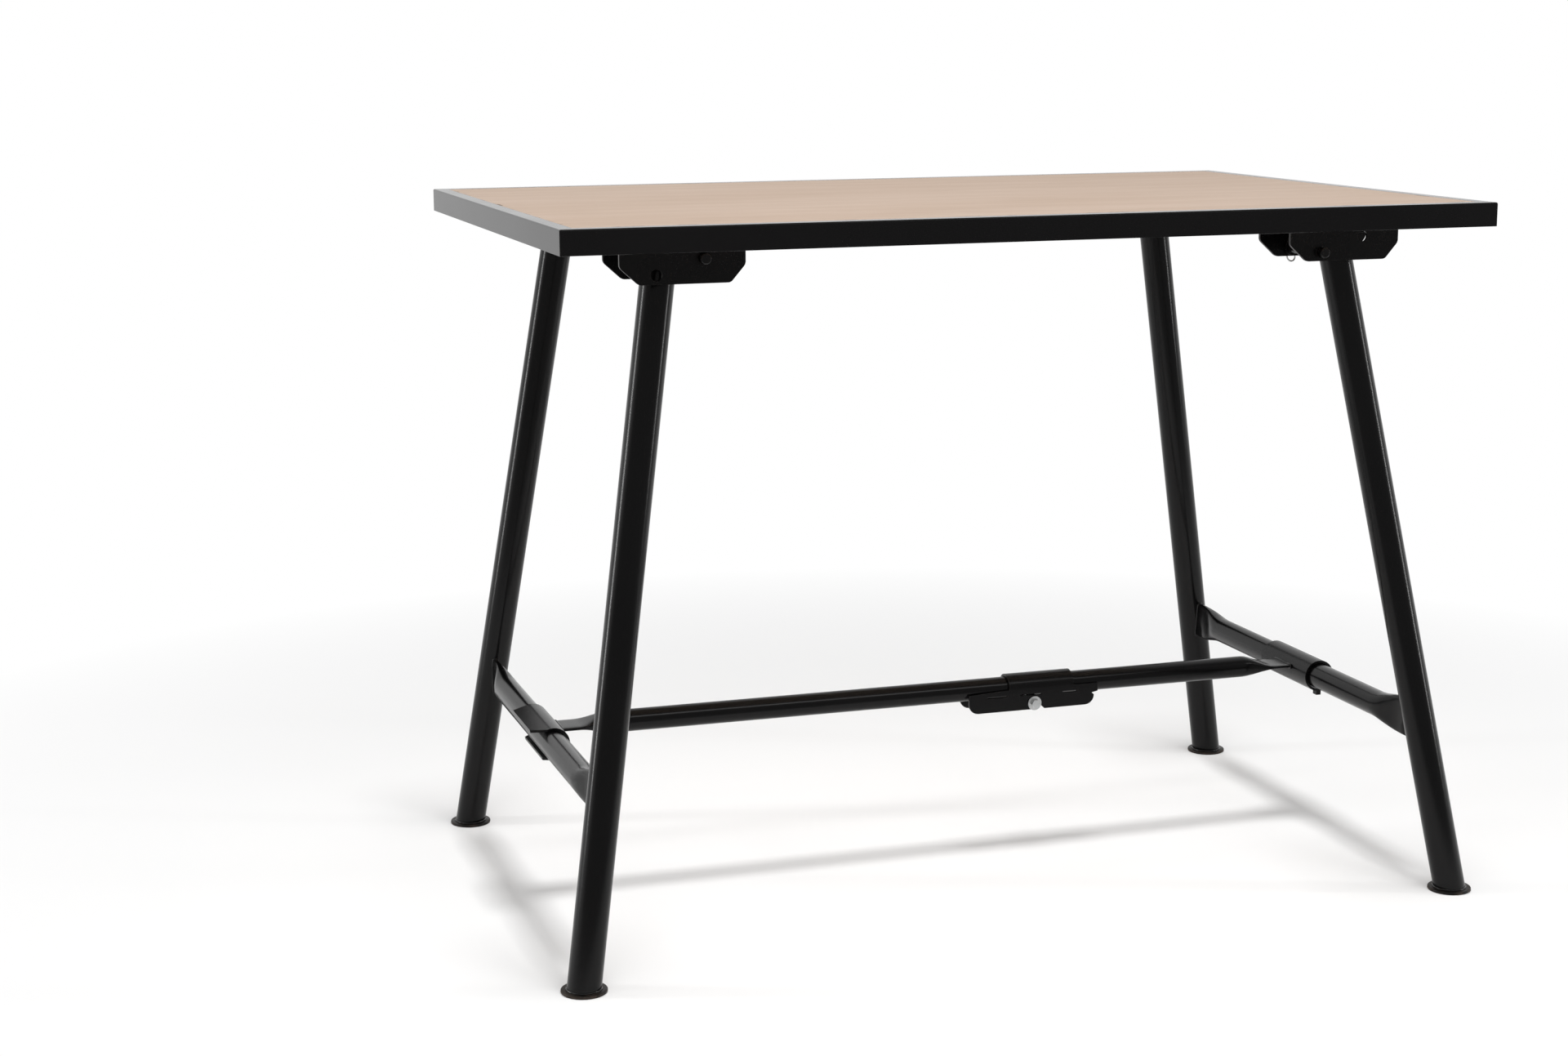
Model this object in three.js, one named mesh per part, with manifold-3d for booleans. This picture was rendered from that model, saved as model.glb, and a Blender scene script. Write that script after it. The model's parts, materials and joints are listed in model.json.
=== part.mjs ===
import * as THREE from 'three';
import { mergeVertices } from 'three/addons/utils/BufferGeometryUtils.js';
import Module from 'manifold-3d';

const wasm = await Module();
wasm.setup();

// Driving sizes in millimetres. X runs along the top, Y towards the back, Z up from the floor.
const GAP = 0.3;

const TOP_LENGTH = 1080;
const TOP_WIDTH = 710;
const TOP_HEIGHT = 820;
const TOP_DEPTH = 27;
const EDGE_GAUGE = 2;
const EDGE_FLANGE = 17;

const BRACKET_LENGTH = 138;
const BRACKET_WIDTH = 76;
const BRACKET_DEPTH = 40;
const BRACKET_GAUGE = 4;
const BRACKET_LEFT_CHAMFER = 21;
const BRACKET_RIGHT_CHAMFER = 16.5;
const BRACKET_CHAMFER_Z = 19;
const BRACKET_SIDE_INSET = 117.5;
const LEFT_BRACKET_INSET = 81;
const RIGHT_BRACKET_INSET = 78.5;
const LOW_HOLE_X = 40;
const LOW_HOLE_DROP = 30;
const HIGH_HOLE_X = 92;
const HIGH_HOLE_DROP = 13.5;

const PIN_RADIUS = 6;
const PIN_PROUD = 10;
const PIN_EASE = 1.2;
const CLIP_WIRE = 1.2;

const SCREW_HEAD_FLATS = 13;
const SCREW_HEAD_HEIGHT = 5;
const SCREW_WASHER_RADIUS = 8;
const SCREW_WASHER_GAUGE = 1.6;
const SCREW_INSET_X = 14;
const SCREW_INSET_Y = 15;

const LEG_RADIUS = 19.05;
const LEG_WALL = 2;
const LEFT_LEG_OFFSET = 37.8;
const RIGHT_LEG_OFFSET = 32.6;
const LEFT_FOOT_INSET = 17.4;
const RIGHT_FOOT_INSET = 0.6;
const FOOT_SIDE_INSET = 35.6;
const FOOT_RADIUS = 25.5;
const FOOT_GAUGE = 3.5;

const SHOE_LENGTH = 58;
const SHOE_GAUGE = 5;
const EAR_GAUGE = 4;
const EAR_RADIUS = 9;
const EAR_REACH = 30;
const SHOE_CLEARANCE = 0.5;

const CROSSBAR_RADIUS = 15.9;
const CROSSBAR_Z = 203;
const CROSSBAR_FLAT_HEIGHT = 46;
const CROSSBAR_FLAT_GAUGE = 7;
const CROSSBAR_FLAT_LENGTH = 18;
const CROSSBAR_TAPER = 56;

const STRETCHER_RADIUS = 13.45;
const STRETCHER_WALL = 2;
const STRETCHER_RISE = 5;
const BLADE_WIDTH = 42;
const BLADE_GAUGE = 4.5;
const BLADE_LENGTH = 22;
const BLADE_TAPER = 40;

const COLLAR_LENGTH = 117;
const COLLAR_GAUGE = 3.2;
const HOOK_CHAMFER = 11;
const HOOK_UPPER_FLAP = 19.2;
const HOOK_UPPER_DROP = 2;
const HOOK_LOWER_FLAP = 13;
const HOOK_LOWER_DROP = 1.5;
const SLEEVE_CLEARANCE = 0.8;
const SLEEVE_TAB_LENGTH = 9;
const SLEEVE_TAB_DROP = 5;

const KNUCKLE_X = 128.3;
const KNUCKLE_DROP = 19;
const SADDLE_LEFT = 33.5;
const SADDLE_RIGHT = 53;
const CHEEK_LEFT = 87;
const CHEEK_RIGHT = 86;
const CHEEK_GAUGE = 3;
const CHEEK_DROP = 27;
const CHEEK_CORNER = 12;
const CHEEK_NOSE = 5;
const CHEEK_NOTCH = 3;
const SLIT_WIDTH = 2;
const SLIT_DROP = 11;
const TUBE_END_LEFT = 27;
const TUBE_END_RIGHT = 3;
const TONGUE_GAUGE = 8;
const TONGUE_LENGTH = 76;
const TONGUE_NOSE = 9;
const TONGUE_CORNER = 5;
const TONGUE_EDGE = 6;
const THROAT_CLEARANCE = 0.6;
const THROAT_LENGTH = 16;
const BOLT_RADIUS = 3;
const BOLT_HEAD_FLATS = 10;
const BOLT_HEAD_HEIGHT = 4.5;
const WASHER_RADIUS = 9;
const WASHER_GAUGE = 1.6;
const BOLT_PAST_NUT = 4;

const BLACK = 0x16171a;
const PLY = 0xd8b98a;
const ZINC = 0xb4b8bb;
const BLACK_EDGE = 0x1b1c1f;

const UNDERSIDE = TOP_HEIGHT - TOP_DEPTH;
const BASE_UNDERSIDE = UNDERSIDE - BRACKET_GAUGE;
const SHOE_TOP = BASE_UNDERSIDE - GAP;
const LEG_TOP = SHOE_TOP - SHOE_GAUGE - GAP;
const LEG_BOTTOM = FOOT_GAUGE + GAP;
const STRETCHER_Z = CROSSBAR_Z + STRETCHER_RISE;
const BRACKET_Y = TOP_WIDTH / 2 - BRACKET_SIDE_INSET;
const LEFT_BRACKET_X = LEFT_BRACKET_INSET - TOP_LENGTH / 2;
const RIGHT_BRACKET_X = TOP_LENGTH / 2 - RIGHT_BRACKET_INSET - BRACKET_LENGTH;
const LEFT_FOOT_X = LEFT_FOOT_INSET - TOP_LENGTH / 2;
const RIGHT_FOOT_X = TOP_LENGTH / 2 - RIGHT_FOOT_INSET;
const FOOT_Y = TOP_WIDTH / 2 - FOOT_SIDE_INSET;
const FEET_CENTRE_X = (LEFT_FOOT_X + RIGHT_FOOT_X) / 2;

const group = new THREE.Group();
group.name = 'folding_workbench';

function addMesh(name, geometry, color, metalness, roughness) {
  const clean = mergeVertices(positionsOnly(geometry), 1e-4);
  clean.translate(-FEET_CENTRE_X, 0, 0);
  clean.computeVertexNormals();
  const material = new THREE.MeshStandardMaterial({ color, metalness, roughness });
  const mesh = new THREE.Mesh(clean, material);
  mesh.name = name;
  group.add(mesh);
}

function positionsOnly(geometry) {
  const flat = geometry.index ? geometry.toNonIndexed() : geometry;
  const bare = new THREE.BufferGeometry();
  bare.setAttribute('position', flat.getAttribute('position').clone());
  return bare;
}

function toSolid(geometry) {
  const merged = mergeVertices(positionsOnly(geometry), 1e-4);
  const vertProperties = new Float32Array(merged.getAttribute('position').array);
  const triVerts = new Uint32Array(merged.index.array);
  return new wasm.Manifold(new wasm.Mesh({ numProp: 3, vertProperties, triVerts }));
}

function toGeometry(solid) {
  const data = solid.getMesh();
  const geometry = new THREE.BufferGeometry();
  geometry.setAttribute('position', new THREE.BufferAttribute(new Float32Array(data.vertProperties), 3));
  geometry.setIndex(new THREE.BufferAttribute(new Uint32Array(data.triVerts), 1));
  return geometry;
}

function box(x0, x1, y0, y1, z0, z1) {
  const geometry = new THREE.BoxGeometry(x1 - x0, y1 - y0, z1 - z0);
  geometry.translate((x0 + x1) / 2, (y0 + y1) / 2, (z0 + z1) / 2);
  return geometry;
}

function shapeOf(points, holes) {
  const shape = new THREE.Shape(points.map(([a, b]) => new THREE.Vector2(a, b)));
  for (const hole of holes) {
    shape.holes.push(new THREE.Path(hole.map(([a, b]) => new THREE.Vector2(a, b))));
  }
  return shape;
}

// A plate lying in the XZ plane, given its outline as [x, z] points, between two Y positions.
function plateXZ(points, y0, y1, holes = []) {
  const shape = shapeOf(points, holes);
  const geometry = new THREE.ExtrudeGeometry(shape, { depth: y1 - y0, bevelEnabled: false, steps: 1 });
  geometry.rotateX(Math.PI / 2);
  geometry.translate(0, y1, 0);
  return geometry;
}

// A plate lying in the XY plane between two heights.
function plateXY(points, z0, z1, holes = []) {
  const shape = shapeOf(points, holes);
  const geometry = new THREE.ExtrudeGeometry(shape, { depth: z1 - z0, bevelEnabled: false, steps: 1 });
  geometry.translate(0, 0, z0);
  return geometry;
}

function circle(cx, cy, radius, count = 20) {
  const points = [];
  for (let i = 0; i < count; i += 1) {
    const angle = (2 * Math.PI * i) / count;
    points.push([cx + radius * Math.cos(angle), cy + radius * Math.sin(angle)]);
  }
  return points;
}

function arc(cx, cy, radius, from, to, count) {
  const points = [];
  for (let i = 0; i <= count; i += 1) {
    const angle = THREE.MathUtils.degToRad(from + ((to - from) * i) / count);
    points.push([cx + radius * Math.cos(angle), cy + radius * Math.sin(angle)]);
  }
  return points;
}

function hexagon(cx, cy, flats) {
  return circle(cx, cy, flats / Math.sqrt(3), 6);
}

function hull(points) {
  const sorted = [...points].sort((p, q) => p[0] - q[0] || p[1] - q[1]);
  const turn = (o, a, b) => (a[0] - o[0]) * (b[1] - o[1]) - (a[1] - o[1]) * (b[0] - o[0]);
  const half = (list) => {
    const chain = [];
    for (const point of list) {
      while (chain.length > 1 && turn(chain[chain.length - 2], chain[chain.length - 1], point) <= 1e-9) {
        chain.pop();
      }
      chain.push(point);
    }
    chain.pop();
    return chain;
  };
  return [...half(sorted), ...half(sorted.reverse())];
}

// A closed skin through matching rings of 3-D points, with flat end caps.
function loft(rings) {
  const count = rings[0].length;
  const positions = [];
  const push = (a, b, c) => positions.push(...a, ...b, ...c);
  for (let r = 0; r + 1 < rings.length; r += 1) {
    for (let i = 0; i < count; i += 1) {
      const j = (i + 1) % count;
      push(rings[r][i], rings[r][j], rings[r + 1][j]);
      push(rings[r][i], rings[r + 1][j], rings[r + 1][i]);
    }
  }
  const first = rings[0];
  const last = rings[rings.length - 1];
  for (let i = 1; i + 1 < count; i += 1) {
    push(first[0], first[i + 1], first[i]);
    push(last[0], last[i], last[i + 1]);
  }
  const geometry = new THREE.BufferGeometry();
  geometry.setAttribute('position', new THREE.BufferAttribute(new Float32Array(positions), 3));
  return geometry;
}

// An outline that runs from a circle at mix 0 to a flat-sided oval at mix 1.
function oval(radius, halfWide, halfThick, mix, count = 24) {
  const power = THREE.MathUtils.lerp(2, 5, mix);
  const wide = THREE.MathUtils.lerp(radius, halfWide, mix);
  const thick = THREE.MathUtils.lerp(radius, halfThick, mix);
  const points = [];
  for (let i = 0; i < count; i += 1) {
    const angle = (2 * Math.PI * (i + 0.5)) / count;
    const c = Math.cos(angle);
    const s = Math.sin(angle);
    const a = Math.sign(c) * Math.abs(c) ** (2 / power);
    const b = Math.sign(s) * Math.abs(s) ** (2 / power);
    points.push([wide * a, thick * b]);
  }
  return points;
}

function smooth(t) {
  const u = THREE.MathUtils.clamp(t, 0, 1);
  return u * u * (3 - 2 * u);
}

// Plywood with a shallow rebate all round, where the edging's flange lies flush with its face.
const panelLength = TOP_LENGTH - 2 * (EDGE_GAUGE + GAP);
const panelWidth = TOP_WIDTH - 2 * (EDGE_GAUGE + GAP);
const faceLength = TOP_LENGTH - 2 * (EDGE_FLANGE + GAP);
const faceWidth = TOP_WIDTH - 2 * (EDGE_FLANGE + GAP);
const rebateZ = TOP_HEIGHT - EDGE_GAUGE - GAP;
const panelLow = box(-panelLength / 2, panelLength / 2, -panelWidth / 2, panelWidth / 2, UNDERSIDE, rebateZ);
const panelHigh = box(-faceLength / 2, faceLength / 2, -faceWidth / 2, faceWidth / 2, rebateZ - 1, TOP_HEIGHT);
addMesh('plywood_panel', toGeometry(toSolid(panelLow).add(toSolid(panelHigh))), PLY, 0, 0.6);

// Steel angle edging, mitred at the corners: one length per side.
function edging(length) {
  const half = length / 2 - GAP / 2;
  const outline = [
    [0, UNDERSIDE],
    [EDGE_GAUGE, UNDERSIDE],
    [EDGE_GAUGE, TOP_HEIGHT - EDGE_GAUGE],
    [EDGE_FLANGE, TOP_HEIGHT - EDGE_GAUGE],
    [EDGE_FLANGE, TOP_HEIGHT],
    [0, TOP_HEIGHT],
  ];
  const shape = shapeOf(outline, []);
  const geometry = new THREE.ExtrudeGeometry(shape, { depth: 2 * half, bevelEnabled: false, steps: 1 });
  geometry.translate(0, 0, -half);
  const position = geometry.getAttribute('position');
  for (let i = 0; i < position.count; i += 1) {
    const inward = position.getX(i);
    position.setZ(i, Math.sign(position.getZ(i)) * (half - inward));
  }
  geometry.rotateX(Math.PI / 2);
  return geometry;
}

const sides = [
  ['left_edging', TOP_WIDTH, TOP_LENGTH, 0],
  ['front_edging', TOP_LENGTH, TOP_WIDTH, Math.PI / 2],
  ['right_edging', TOP_WIDTH, TOP_LENGTH, Math.PI],
  ['rear_edging', TOP_LENGTH, TOP_WIDTH, -Math.PI / 2],
];
for (const [name, length, across, turn] of sides) {
  const geometry = edging(length);
  geometry.translate(-across / 2, 0, 0);
  geometry.rotateZ(turn);
  addMesh(name, geometry, BLACK_EDGE, 0.4, 0.4);
}

// The two ends differ in which bracket hole carries the pin; out is the direction away from the middle.
const ends = [
  {
    name: 'left',
    out: -1,
    bracketX: LEFT_BRACKET_X,
    pinX: LEFT_BRACKET_X + HIGH_HOLE_X,
    pinZ: UNDERSIDE - HIGH_HOLE_DROP,
    topX: LEFT_BRACKET_X + HIGH_HOLE_X - LEFT_LEG_OFFSET,
    footX: LEFT_FOOT_X,
  },
  {
    name: 'right',
    out: 1,
    bracketX: RIGHT_BRACKET_X,
    pinX: RIGHT_BRACKET_X + LOW_HOLE_X,
    pinZ: UNDERSIDE - LOW_HOLE_DROP,
    topX: RIGHT_BRACKET_X + LOW_HOLE_X + RIGHT_LEG_OFFSET,
    footX: RIGHT_FOOT_X,
  },
];
const rows = [
  { name: 'front', side: -1 },
  { name: 'rear', side: 1 },
];

// Hinge bracket: a folded channel with two pairs of holes and chamfered lower corners.
function bracket(x, y) {
  const bottom = UNDERSIDE - BRACKET_DEPTH;
  const outline = [
    [x + BRACKET_LEFT_CHAMFER, bottom],
    [x + BRACKET_LENGTH - BRACKET_RIGHT_CHAMFER, bottom],
    [x + BRACKET_LENGTH, bottom + BRACKET_CHAMFER_Z],
    [x + BRACKET_LENGTH, UNDERSIDE - GAP],
    [x, UNDERSIDE - GAP],
    [x, bottom + BRACKET_CHAMFER_Z],
  ];
  const holes = [
    circle(x + LOW_HOLE_X, UNDERSIDE - LOW_HOLE_DROP, PIN_RADIUS + GAP),
    circle(x + HIGH_HOLE_X, UNDERSIDE - HIGH_HOLE_DROP, PIN_RADIUS + GAP),
  ];
  const half = BRACKET_WIDTH / 2;
  const near = toSolid(plateXZ(outline, y - half, y - half + BRACKET_GAUGE, holes));
  const far = toSolid(plateXZ(outline, y + half - BRACKET_GAUGE, y + half, holes));
  const base = toSolid(box(x, x + BRACKET_LENGTH, y - half, y + half, BASE_UNDERSIDE, UNDERSIDE - GAP));
  return toGeometry(base.add(near).add(far));
}

// Flanged hex screw that holds a bracket up to the board.
function bracketScrew(x, y) {
  const top = BASE_UNDERSIDE - GAP;
  const low = top - SCREW_WASHER_GAUGE - SCREW_HEAD_HEIGHT;
  const washer = plateXY(circle(x, y, SCREW_WASHER_RADIUS, 14), top - SCREW_WASHER_GAUGE, top);
  const head = plateXY(hexagon(x, y, SCREW_HEAD_FLATS), low, top - SCREW_WASHER_GAUGE / 2);
  return toGeometry(toSolid(washer).add(toSolid(head)));
}

// Pivot pin with chamfered ends and a cross hole near its rear end for the clip.
function pivotPin(end, y) {
  const half = BRACKET_WIDTH / 2 + PIN_PROUD;
  const profile = [
    [0, -half],
    [PIN_RADIUS - PIN_EASE, -half],
    [PIN_RADIUS, -half + PIN_EASE],
    [PIN_RADIUS, half - PIN_EASE],
    [PIN_RADIUS - PIN_EASE, half],
    [0, half],
  ];
  const lathe = new THREE.LatheGeometry(profile.map(([r, h]) => new THREE.Vector2(r, h)), 20);
  lathe.translate(end.pinX, y, end.pinZ);
  const clipY = y + half - PIN_PROUD / 2;
  const span = 2 * PIN_RADIUS;
  const hole = plateXY(circle(end.pinX, clipY, CLIP_WIRE + GAP, 8), end.pinZ - span, end.pinZ + span);
  return toGeometry(toSolid(lathe).subtract(toSolid(hole)));
}

// Spring clip bent from wire: one straight arm through the pin, one arm sprung round it.
function springClip(end, y) {
  const plane = y + BRACKET_WIDTH / 2 + PIN_PROUD / 2;
  const far = PIN_RADIUS + CLIP_WIRE + 1;
  const path = [
    [0, far + 1],
    [0, 0],
    [0, -far - 3],
    [3, -far - 8],
    [8, -far - 9],
    [11, -far - 5],
    [far + 1.5, -far],
    [far, -3],
    [far, 3],
    [far + 2.5, far],
  ];
  const points = path.map(([x, z]) => new THREE.Vector3(end.pinX + x, plane, end.pinZ + z));
  const curve = new THREE.CatmullRomCurve3(points, false, 'catmullrom', 0.35);
  const wire = shapeOf(circle(0, 0, CLIP_WIRE, 6), []);
  return new THREE.ExtrudeGeometry(wire, { extrudePath: curve, steps: 18, bevelEnabled: false });
}

// Leg tube: a ring drawn level and leaned over, so both cut ends lie level.
function legAt(end, row, z) {
  const t = (z - LEG_BOTTOM) / (LEG_TOP - LEG_BOTTOM);
  const x = THREE.MathUtils.lerp(end.footX, end.topX, t);
  const y = row.side * THREE.MathUtils.lerp(FOOT_Y, BRACKET_Y, t);
  return [x, y];
}

function leaningTube(end, row, outer, inner, z0, z1) {
  const holes = inner > 0 ? [circle(0, 0, inner, 28)] : [];
  const geometry = plateXY(circle(0, 0, outer, 28), z0, z1, holes);
  const position = geometry.getAttribute('position');
  for (let i = 0; i < position.count; i += 1) {
    const [x, y] = legAt(end, row, position.getZ(i));
    position.setXY(i, position.getX(i) + x, position.getY(i) + y);
  }
  return geometry;
}

// Hinge shoe: the plate that bears on the bracket, with two ears round the pin.
function hingeShoe(end, row) {
  const y = row.side * BRACKET_Y;
  const half = BRACKET_WIDTH / 2 - BRACKET_GAUGE - SHOE_CLEARANCE;
  const outer = end.pinX + end.out * SHOE_LENGTH;
  const plate = box(
    Math.min(end.pinX, outer), Math.max(end.pinX, outer), y - half, y + half, SHOE_TOP - SHOE_GAUGE, SHOE_TOP,
  );
  const reach = end.pinX + end.out * EAR_REACH;
  const outline = hull([
    ...circle(end.pinX, end.pinZ, EAR_RADIUS),
    [end.pinX, SHOE_TOP],
    [reach, SHOE_TOP],
    [reach, SHOE_TOP - SHOE_GAUGE],
  ]);
  const hole = plateXZ(circle(end.pinX, end.pinZ, PIN_RADIUS + GAP), y - half - 1, y + half + 1);
  const near = toSolid(plateXZ(outline, y - half, y - half + EAR_GAUGE));
  const far = toSolid(plateXZ(outline, y + half - EAR_GAUGE, y + half));
  return toGeometry(toSolid(plate).add(near).add(far).subtract(toSolid(hole)));
}

// Crossbar: a round tube pressed flat at both ends and coped to the legs.
function crossbar(end) {
  const [x] = legAt(end, rows[0], CROSSBAR_Z);
  const [, reach] = legAt(end, rows[1], CROSSBAR_Z);
  const stations = [];
  const count = 5;
  for (let i = 0; i <= count; i += 1) {
    stations.push([reach - LEG_RADIUS - CROSSBAR_FLAT_LENGTH - CROSSBAR_TAPER * (1 - i / count), smooth(i / count)]);
  }
  stations.push([reach, 1]);
  const full = [...stations.map(([y, mix]) => [-y, mix]).reverse(), ...stations];
  const rings = full.map(([y, mix]) => {
    const outline = oval(CROSSBAR_RADIUS, CROSSBAR_FLAT_HEIGHT / 2, CROSSBAR_FLAT_GAUGE / 2, mix);
    return outline.map(([along, across]) => [x + across, y, CROSSBAR_Z + along]);
  });
  let solid = toSolid(loft(rings));
  for (const row of rows) {
    const tool = leaningTube(end, row, LEG_RADIUS + GAP, 0, LEG_BOTTOM, LEG_TOP);
    solid = solid.subtract(toSolid(tool));
  }
  return toGeometry(solid.decompose().reduce((a, b) => (a.volume() > b.volume() ? a : b)));
}

for (const end of ends) {
  for (const row of rows) {
    const tag = `${end.name}_${row.name}`;
    const y = row.side * BRACKET_Y;
    addMesh(`${tag}_bracket`, bracket(end.bracketX, y), BLACK, 0.4, 0.35);
    const screwReach = BRACKET_WIDTH / 2 - SCREW_INSET_Y;
    const screwXs = [end.bracketX + SCREW_INSET_X, end.bracketX + BRACKET_LENGTH - SCREW_INSET_X];
    const screwYs = [y - screwReach, y + screwReach];
    screwXs.forEach((sx, i) => screwYs.forEach((sy, j) => {
      addMesh(`${tag}_screw_${2 * i + j + 1}`, bracketScrew(sx, sy), ZINC, 0.9, 0.35);
    }));
    addMesh(`${tag}_pivot_pin`, pivotPin(end, y), BLACK, 0.4, 0.4);
    addMesh(`${tag}_spring_clip`, springClip(end, y), ZINC, 0.9, 0.3);
    addMesh(`${tag}_hinge_shoe`, hingeShoe(end, row), BLACK, 0.4, 0.35);
    const leg = leaningTube(end, row, LEG_RADIUS, LEG_RADIUS - LEG_WALL, LEG_BOTTOM, LEG_TOP);
    addMesh(`${tag}_leg`, leg, BLACK, 0.4, 0.35);
    const [footX, footY] = legAt(end, row, LEG_BOTTOM);
    addMesh(`${tag}_foot`, plateXY(circle(footX, footY, FOOT_RADIUS, 32), 0, FOOT_GAUGE), BLACK, 0.4, 0.45);
  }
  addMesh(`${end.name}_crossbar`, crossbar(end), BLACK, 0.4, 0.35);
}

// Collars: rolled plate round a crossbar. Their outlines are drawn round the crossbar's axis,
// with the first coordinate pointing towards the stretcher; out points away from it.
function rolled(inner, from, to) {
  const steps = Math.max(6, Math.round((to - from) / 12));
  return [...arc(0, 0, inner + COLLAR_GAUGE, from, to, steps), ...arc(0, 0, inner, to, from, steps)];
}

function strip(root, tip, gauge) {
  const along = new THREE.Vector2(root[0] - tip[0], root[1] - tip[1]).normalize();
  const rise = [-along.y * gauge, along.x * gauge];
  return [tip, root, [root[0] + rise[0], root[1] + rise[1]], [tip[0] + rise[0], tip[1] + rise[1]]];
}

function facing(points) {
  const area = THREE.ShapeUtils.area(points.map(([a, b]) => new THREE.Vector2(a, b)));
  return area < 0 ? [...points].reverse() : points;
}

function collarPlate(x, out, outline, y0, y1) {
  const placed = outline.map(([a, b]) => [x - out * a, CROSSBAR_Z + b]);
  return toSolid(plateXZ(facing(placed), y0, y1));
}

// A flap of the hook, with its two free corners cut off as seen in plan.
function hookFlap(x, out, root, tip, gauge) {
  const half = COLLAR_LENGTH / 2;
  let solid = collarPlate(x, out, strip(root, tip, gauge), -half, half);
  for (const side of [-1, 1]) {
    const corner = [
      [x - out * root[0], side * (half + GAP)],
      [x - out * tip[0], side * (half - HOOK_CHAMFER)],
      [x - out * (tip[0] - COLLAR_GAUGE), side * (half - HOOK_CHAMFER)],
      [x - out * (tip[0] - COLLAR_GAUGE), side * (half + GAP)],
    ];
    const reach = CROSSBAR_RADIUS + HOOK_UPPER_FLAP;
    solid = solid.subtract(toSolid(plateXY(facing(corner), CROSSBAR_Z - reach, CROSSBAR_Z + reach)));
  }
  return solid;
}

// Open hook: a rolled back with an upper and a lower flap, which lifts off its crossbar.
function hook(x, out) {
  const half = COLLAR_LENGTH / 2;
  const inner = CROSSBAR_RADIUS + GAP;
  const [top] = arc(0, 0, inner, 112, 113, 1);
  const [low] = arc(0, 0, inner, -86, -85, 1);
  const back = collarPlate(x, out, rolled(inner, -86, 113), -half, half);
  const upper = hookFlap(x, out, top, [top[0] - HOOK_UPPER_FLAP, top[1] - HOOK_UPPER_DROP], COLLAR_GAUGE);
  const lower = hookFlap(x, out, low, [low[0] - HOOK_LOWER_FLAP, low[1] - HOOK_LOWER_DROP], -COLLAR_GAUGE);
  return back.add(upper).add(lower);
}

// Sleeve: rolled most of the way round, so that it stays on its crossbar, with a tab turned down in front.
function sleeve(x, out) {
  const half = COLLAR_LENGTH / 2;
  const inner = CROSSBAR_RADIUS + SLEEVE_CLEARANCE;
  const band = collarPlate(x, out, rolled(inner, -95, 205), -half, half);
  const tab = [
    [-COLLAR_GAUGE, -inner - GAP],
    [COLLAR_GAUGE, -inner - GAP],
    [COLLAR_GAUGE, -inner - COLLAR_GAUGE - SLEEVE_TAB_DROP],
    [-COLLAR_GAUGE, -inner - COLLAR_GAUGE - SLEEVE_TAB_DROP],
  ];
  return band.add(collarPlate(x, out, tab, -half, SLEEVE_TAB_LENGTH - half));
}

const [leftBarX] = legAt(ends[0], rows[0], CROSSBAR_Z);
const [rightBarX] = legAt(ends[1], rows[0], CROSSBAR_Z);
addMesh('left_hook', toGeometry(hook(leftBarX, -1)), BLACK, 0.4, 0.35);
addMesh('right_collar', toGeometry(sleeve(rightBarX, 1)), BLACK, 0.4, 0.35);

// Stretcher halves: round tube, pressed to a flat blade where it meets its collar.
function stretcherTube(fromX, toX) {
  const way = Math.sign(toX - fromX);
  const count = 6;
  const stations = [[fromX, 1]];
  for (let i = 0; i <= count; i += 1) {
    stations.push([fromX + way * (BLADE_LENGTH + (BLADE_TAPER * i) / count), 1 - smooth(i / count)]);
  }
  stations.push([toX, 0]);
  const rings = stations.map(([x, mix]) => {
    const outline = oval(STRETCHER_RADIUS, BLADE_WIDTH / 2, BLADE_GAUGE / 2, mix);
    const ring = outline.map(([across, up]) => [x, across, STRETCHER_Z + up]);
    return way > 0 ? ring : ring.reverse();
  });
  const bore = stations[count + 1][0] + way * STRETCHER_WALL;
  const inside = circle(0, 0, STRETCHER_RADIUS - STRETCHER_WALL, 20);
  const hole = [bore, toX + way].map((x) => {
    const ring = inside.map(([across, up]) => [x, across, STRETCHER_Z + up]);
    return way > 0 ? ring : ring.reverse();
  });
  return toGeometry(toSolid(loft(rings)).subtract(toSolid(loft(hole))));
}

const bladeLeft = leftBarX + CROSSBAR_RADIUS + GAP + COLLAR_GAUGE + GAP;
const bladeRight = rightBarX - CROSSBAR_RADIUS - SLEEVE_CLEARANCE - COLLAR_GAUGE - GAP;
addMesh('stretcher_long_tube', stretcherTube(bladeLeft, KNUCKLE_X - TUBE_END_LEFT), BLACK, 0.4, 0.35);
addMesh('stretcher_short_tube', stretcherTube(bladeRight, KNUCKLE_X + TUBE_END_RIGHT), BLACK, 0.4, 0.35);

// Knuckle: saddle with two cheeks on the short half, a tongue under the long half, and one bolt.
const boltZ = STRETCHER_Z - KNUCKLE_DROP;
const cheekIn = STRETCHER_RADIUS + GAP;
const cheekOut = cheekIn + CHEEK_GAUGE;
const cheekLow = STRETCHER_Z - CHEEK_DROP;
const cheekX0 = KNUCKLE_X - CHEEK_LEFT;
const cheekX1 = KNUCKLE_X + CHEEK_RIGHT;
const saddleX0 = KNUCKLE_X - SADDLE_LEFT;
const saddleX1 = KNUCKLE_X + SADDLE_RIGHT;

// The slits between the stitch welds, as distances from the bolt.
const slits = [
  [-63, -36],
  [-19, 10],
  [38, 58],
];

function slot(x0, x1, z, width) {
  const r = width / 2;
  return hull([...circle(x0 + r, z, r, 8), ...circle(x1 - r, z, r, 8)]);
}

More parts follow.
